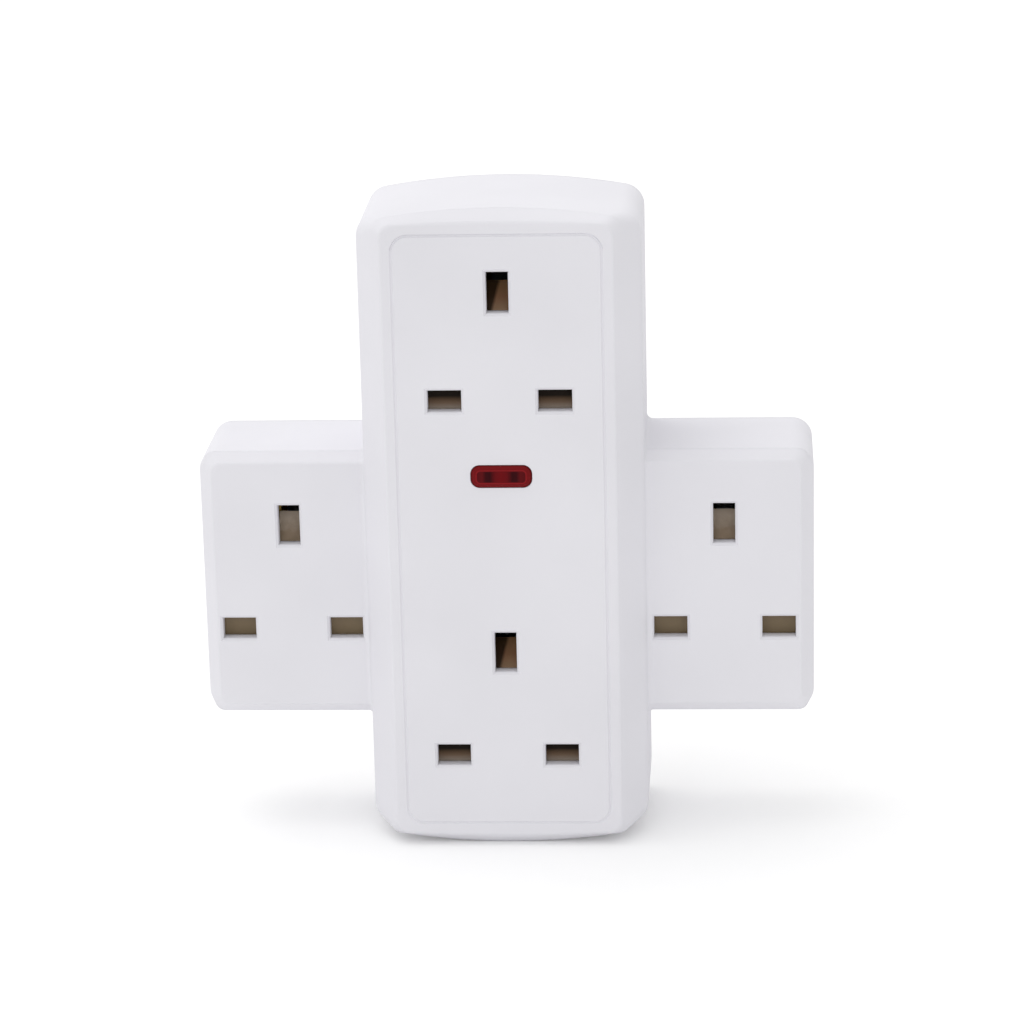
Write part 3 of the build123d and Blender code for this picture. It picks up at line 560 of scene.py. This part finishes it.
tinned, tree, shader, place = new_finish("copper_wire_tinned", Metallic=1.0)
dip = add_node(
    tree, "TexNoise", {"Scale": per_metre(0.8), "Detail": 3.0}, {"Vector": place["Object"]}
)
waver(tree, shader, dip.outputs["Fac"], [(0.3, "#BEBDB9"), (0.7, "#D6D5D2")], (0.25, 0.4))
dress(tinned, "lamp_lead")

# %% Resistor with painted rings
HALF_RESISTOR = 3.1 * MM
RINGS = ("#C9B48A", "#7A4A24", "#C9B48A", "#1C1B1A", "#C9B48A", "#C8A21C", "#C9B48A")
RING_STEP = 0.12

low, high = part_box("ballast_resistor")
middle = (low.y + high.y) / 2
lacquer, tree, shader, place = new_finish("lacquer_on_film_resistor", IOR=1.5, Roughness=0.3)
back = add_node(tree, "SeparateXYZ", links={"Vector": place["Object"]}).outputs["Y"]
run = add_node(
    tree,
    "MapRange",
    {"From Min": middle - HALF_RESISTOR, "From Max": middle + HALF_RESISTOR},
    {"Value": back},
)
painted = [(RING_STEP * (i + 1), code) for i, code in enumerate(RINGS)]
waver(tree, shader, run.outputs["Result"], [(0.0, "#C4C3C0"), *painted])
dress(lacquer, "ballast_resistor")

# %% [markdown]
# ## Turned pieces
# Electrodes and screws are round, so both come from a lathe: a profile of radius and height is
# spun about an axis. Blender's spin tool does that, and a matrix then lays the piece in place.


# %% A lathe
CREASE = math.radians(35)


def lathe(name, profile, steps, lay, finish):
    """Spin a profile of (radius, height) in mm about z, and lay the result by a matrix."""
    shape = bmesh.new()
    ring = [shape.verts.new((r * MM, 0, z * MM)) for r, z in profile]
    line = [shape.edges.new(pair) for pair in zip(ring, ring[1:])]
    bmesh.ops.spin(
        shape,
        geom=ring + line,
        axis=(0, 0, 1),
        cent=(0, 0, 0),
        angle=math.tau,
        steps=steps,
        use_merge=True,
    )
    bmesh.ops.remove_doubles(shape, verts=shape.verts, dist=1e-7)
    bmesh.ops.recalc_face_normals(shape, faces=shape.faces)
    shape.transform(lay)
    mesh = bpy.data.meshes.new(name)
    shape.to_mesh(mesh)
    shape.free()
    mesh.shade_smooth()
    mesh.set_sharp_from_angle(angle=CREASE)
    mesh.materials.append(finish)
    piece = bpy.data.objects.new(name, mesh)
    bpy.context.scene.collection.objects.link(piece)
    return piece


# %% Electrodes of the lamp
CUP = [(0, 1.2), (0.7, 1.25), (0.85, 1.45), (0.85, 3.3), (0.7, 3.5)]
STEM = [(0.3, 3.6), (0.3, 7.6), (0, 7.7)]

low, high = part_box("neon_lamp")
for name, way in (("left", -1), ("right", 1)):
    lay = Matrix.Translation((low + high) / 2) @ Matrix.Rotation(way * math.pi / 2, 4, "Y")
    electrode = lathe(name + "_electrode", CUP + STEM, 16, lay, nickel)
    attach(electrode, "case")
    print(electrode.name, len(electrode.data.polygons), "faces")

# %% [markdown]
# ## Cover screws
# Six thread-forming screws hold the cover. Their heads are cold-formed with a tapered cross recess,
# the thread is rolled on, and zinc plating leaves a bluish satin. The recess is cut with a Boolean,
# and the thread is a three-sided ridge wound up the shank, fading out at both ends.

# %% Finish of the screws
zinc, tree, shader, place = new_finish("steel_zinc_plated", Metallic=1.0)
bloom = add_node(
    tree, "TexNoise", {"Scale": per_metre(0.6), "Detail": 4.0}, {"Vector": place["Object"]}
)
waver(tree, shader, bloom.outputs["Fac"], [(0.3, "#B2B5B8"), (0.7, "#CCCFD2")], (0.24, 0.42))
print("screw finish:", zinc.name)


# %% Thread and recess
TURN_STEPS = 20
RIDGE_HALF = 0.3
# Half length, half width and height of the recess in mm, at its mouth and at its floor
RECESS_MOUTH = (1.45, 0.38, 0.2)
RECESS_FLOOR = (0.8, 0.22, -1.0)


def wind_thread(shape, root, crest, start, end, pitch):
    """Wind a three-sided ridge about z between two heights, all in mm."""
    count = int(abs(end - start) / pitch * TURN_STEPS)
    last = None
    for i in range(count + 1):
        angle = math.tau * i / TURN_STEPS
        z = start + (end - start) * i / count
        fade = min(1.0, i / TURN_STEPS, (count - i) / TURN_STEPS)
        tip = root + (crest - root) * fade
        corners = [(root, -RIDGE_HALF), (tip, 0.0), (root, RIDGE_HALF)]
        ring = [
            shape.verts.new((r * math.cos(angle) * MM, r * math.sin(angle) * MM, (z + dz) * MM))
            for r, dz in corners
        ]
        if last:
            for a, b in ((0, 1), (1, 2), (2, 0)):
                shape.faces.new((last[a], last[b], ring[b], ring[a]))
        else:
            shape.faces.new(ring)
        last = ring
    shape.faces.new(last[::-1])


def cross_cutter():
    """Two crossed wedges, wider at the top, as the forming punch has."""
    shape = bmesh.new()
    for turned in (0, math.pi / 2):
        wedge = bmesh.ops.create_cube(shape, size=1.0)["verts"]
        for v in wedge:
            long, wide, z = RECESS_MOUTH if v.co.z > 0 else RECESS_FLOOR
            v.co = Vector((math.copysign(long, v.co.x), math.copysign(wide, v.co.y), z)) * MM
        bmesh.ops.rotate(
            shape, verts=wedge, cent=(0, 0, 0), matrix=Matrix.Rotation(turned, 3, "Z")
        )
    mesh = bpy.data.meshes.new("cross_cutter")
    shape.to_mesh(mesh)
    shape.free()
    return bpy.data.objects.new("cross_cutter", mesh)


# %% Form one screw
HEAD = [(0, -0.25), (1.2, -0.28), (1.9, -0.42), (2.3, -0.7), (2.46, -1.0), (2.46, -1.4)]
NECK = [(2.36, -1.5), (1.3, -1.5), (1.1, -1.8)]
SHANK = [(1.05, -2.2), (1.05, -10.8), (0.6, -11.6), (0, -11.9)]
SCREW_CREASE = math.radians(30)

blank = lathe("screw_blank", HEAD + NECK + SHANK, 40, Matrix.Identity(4), zinc)
punch = cross_cutter()
bpy.context.scene.collection.objects.link(punch)
cut = blank.modifiers.new("cross_recess", "BOOLEAN")
cut.object = punch
cut.solver = "EXACT"
cut.use_self = True
bpy.context.view_layer.update()
formed = bpy.data.meshes.new_from_object(
    blank.evaluated_get(bpy.context.evaluated_depsgraph_get())
)
shape = bmesh.new()
shape.from_mesh(formed)
wind_thread(shape, root=0.95, crest=1.38, start=-2.6, end=-10.8, pitch=0.9)
bmesh.ops.recalc_face_normals(shape, faces=shape.faces)
shape.to_mesh(formed)
shape.free()
formed.materials.clear()
formed.materials.append(zinc)
formed.shade_smooth()
formed.set_sharp_from_angle(angle=SCREW_CREASE)
bpy.data.objects.remove(punch)
bpy.data.objects.remove(blank)
print("each screw has", len(formed.polygons), "faces")

# %% Drive six of them home, no two turned alike
TURN_BETWEEN = 0.4
for i, name in enumerate(n for n in sorted(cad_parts) if n.startswith("screw_")):
    low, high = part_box(name)
    piece = bpy.data.objects.new("cover_" + name, formed.copy())
    bpy.context.scene.collection.objects.link(piece)
    lay = Matrix.Translation(((low.x + high.x) / 2, 0, (low.z + high.z) / 2))
    lay = lay @ Matrix.Rotation(-math.pi / 2, 4, "X") @ Matrix.Rotation(TURN_BETWEEN * i, 4, "Z")
    piece.data.transform(lay)
    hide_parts(name)
    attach(piece, "case")
    print(piece.name, "at", [round(x / MM, 1) for x in (low + high) / 2])

# %% [markdown]
# ## Bow springs
# A strip of spring steel, bowed like an archer's bow, pushes each shutter back up. It has to
# flatten when the shutter drops; each bow here is a copy of its solid with a mesh of its own.

# %% Finish of the springs
spring_steel, tree, shader, place = new_finish("spring_steel_rolled", Metallic=1.0)
rolled = add_node(
    tree, "TexNoise", {"Scale": per_metre(0.8), "Detail": 4.0}, {"Vector": place["Object"]}
)
waver(tree, shader, rolled.outputs["Fac"], [(0.3, "#9A9A9C"), (0.7, "#C4C4C4")], (0.25, 0.4))
print("spring finish:", spring_steel.name)

# %% Copies of the springs
for s in SOCKETS:
    node = s + "_shutter_spring"
    low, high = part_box(node)
    bow = bpy.data.objects.new(s + "_bow_spring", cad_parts[node].data.copy())
    bpy.context.scene.collection.objects.link(bow)
    bow.data.materials.clear()
    bow.data.materials.append(spring_steel)
    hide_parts(node)
    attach(bow, "case")
    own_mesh(bow)
    print(bow.name, "is", round((high.z - low.z) / MM, 2), "mm high at rest")

# %% [markdown]
# ## Floor and light
# A white product is shot on a roll of white paper under soft light from all round. The paper is
# white by its colour, and it is lifted to full white only where the camera or a reflection looks
# at it, so the shadow at the adapter's foot stays. One soft box overhead draws that shadow.


# %% Which rays look
def add_looking(tree):
    """One where the camera, a reflection or a clear piece looks, and zero for other light."""
    ray = add_node(tree, "LightPath").outputs
    looks = ray["Is Camera Ray"]
    for other in ("Is Glossy Ray", "Is Transmission Ray"):
        both = {0: looks, 1: ray[other]}
        looks = add_node(tree, "Math", links=both, operation="MAXIMUM").outputs[0]
    return looks


# %% Paper floor
FLOOR_SIZE = 8.0
NEAR, FAR = 0.4, 1.6
NEAR_LIFT, FAR_LIFT = 0.12, 0.24

bpy.ops.mesh.primitive_plane_add(size=FLOOR_SIZE, location=(0, 0, cad_low.z))
floor = bpy.context.object
floor.name = "paper_floor"
floor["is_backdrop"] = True
paper, tree, shader, place = new_finish(
    "white_paper_matt", Roughness=0.9, Specular_IOR_Level=0.0, Emission_Color=(1, 1, 1, 1)
)
pulp = add_node(
    tree, "TexNoise", {"Scale": per_metre(60), "Detail": 3.0}, {"Vector": place["Object"]}
)
waver(tree, shader, pulp.outputs["Fac"], [(0.3, "#F8F8F8"), (0.7, "#FAFAFA")])
# The soft box reaches only the middle of the paper, so further out the lift is larger.
away = add_node(tree, "VectorMath", links={0: place["Object"]}, operation="LENGTH")
fill = add_node(
    tree,
    "MapRange",
    {"From Min": NEAR, "From Max": FAR, "To Min": NEAR_LIFT, "To Max": FAR_LIFT},
    {"Value": away.outputs["Value"]},
)
lift = add_node(
    tree,
    "MapRange",
    links={"Value": add_looking(tree), "To Max": fill.outputs["Result"]},
)
tree.links.new(lift.outputs["Result"], shader.inputs["Emission Strength"])
floor.data.materials.append(paper)
print("floor at", round(cad_low.z / MM, 1), "mm")

# %% Sky
SKY_LIGHT = 0.905
BOARD_LIGHT = 0.66
BOARD_EDGE, BOARD_FULL = 0.25, 0.85

world = bpy.data.worlds.new("studio_sky")
bpy.context.scene.world = world
world.use_nodes = True
tree = world.node_tree
tree.nodes.clear()
# A grey board on the right makes that side of the adapter a shade darker than the left.
way = add_node(tree, "TexCoord").outputs["Generated"]
rightward = add_node(tree, "SeparateXYZ", links={"Vector": way}).outputs["X"]
board = add_node(
    tree,
    "MapRange",
    {
        "From Min": BOARD_EDGE,
        "From Max": BOARD_FULL,
        "To Min": SKY_LIGHT,
        "To Max": BOARD_LIGHT,
    },
    {"Value": rightward},
)
glow = add_node(
    tree,
    "MapRange",
    {"To Max": 1.0},
    {"Value": add_looking(tree), "To Min": board.outputs["Result"]},
)
sky = add_node(
    tree, "Background", {"Color": (1, 1, 1, 1)}, {"Strength": glow.outputs["Result"]}
)
add_node(tree, "OutputWorld", links={"Surface": sky.outputs["Background"]})
print("sky lights at", SKY_LIGHT, "and looks white")

# %% Soft box
BOX_SIZE = 0.9
BOX_POWER = 3.7
BOX_SPOT = Vector((-0.35, 0.05, 1.3))

lamp = bpy.data.lights.new("overhead_box", "AREA")
lamp.shape = "SQUARE"
lamp.size = BOX_SIZE
lamp.energy = BOX_POWER
soft_box = bpy.data.objects.new("overhead_box", lamp)
bpy.context.scene.collection.objects.link(soft_box)
soft_box.location = BOX_SPOT
beam = (cad_low + cad_high) / 2 - BOX_SPOT
soft_box.rotation_euler = beam.to_track_quat("-Z", "Y").to_euler()
bpy.context.scene.view_settings.view_transform = "Standard"
print("soft box gives", BOX_POWER, "W from", round(beam.length, 2), "m")

# %% [markdown]
# ## The size after dressing
# Dressing must not make the adapter bigger, so its box is printed again after dressing.

# %% Print the dressed box
low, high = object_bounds()
print("dressed box in mm:", [round(x / MM, 1) for x in high - low])
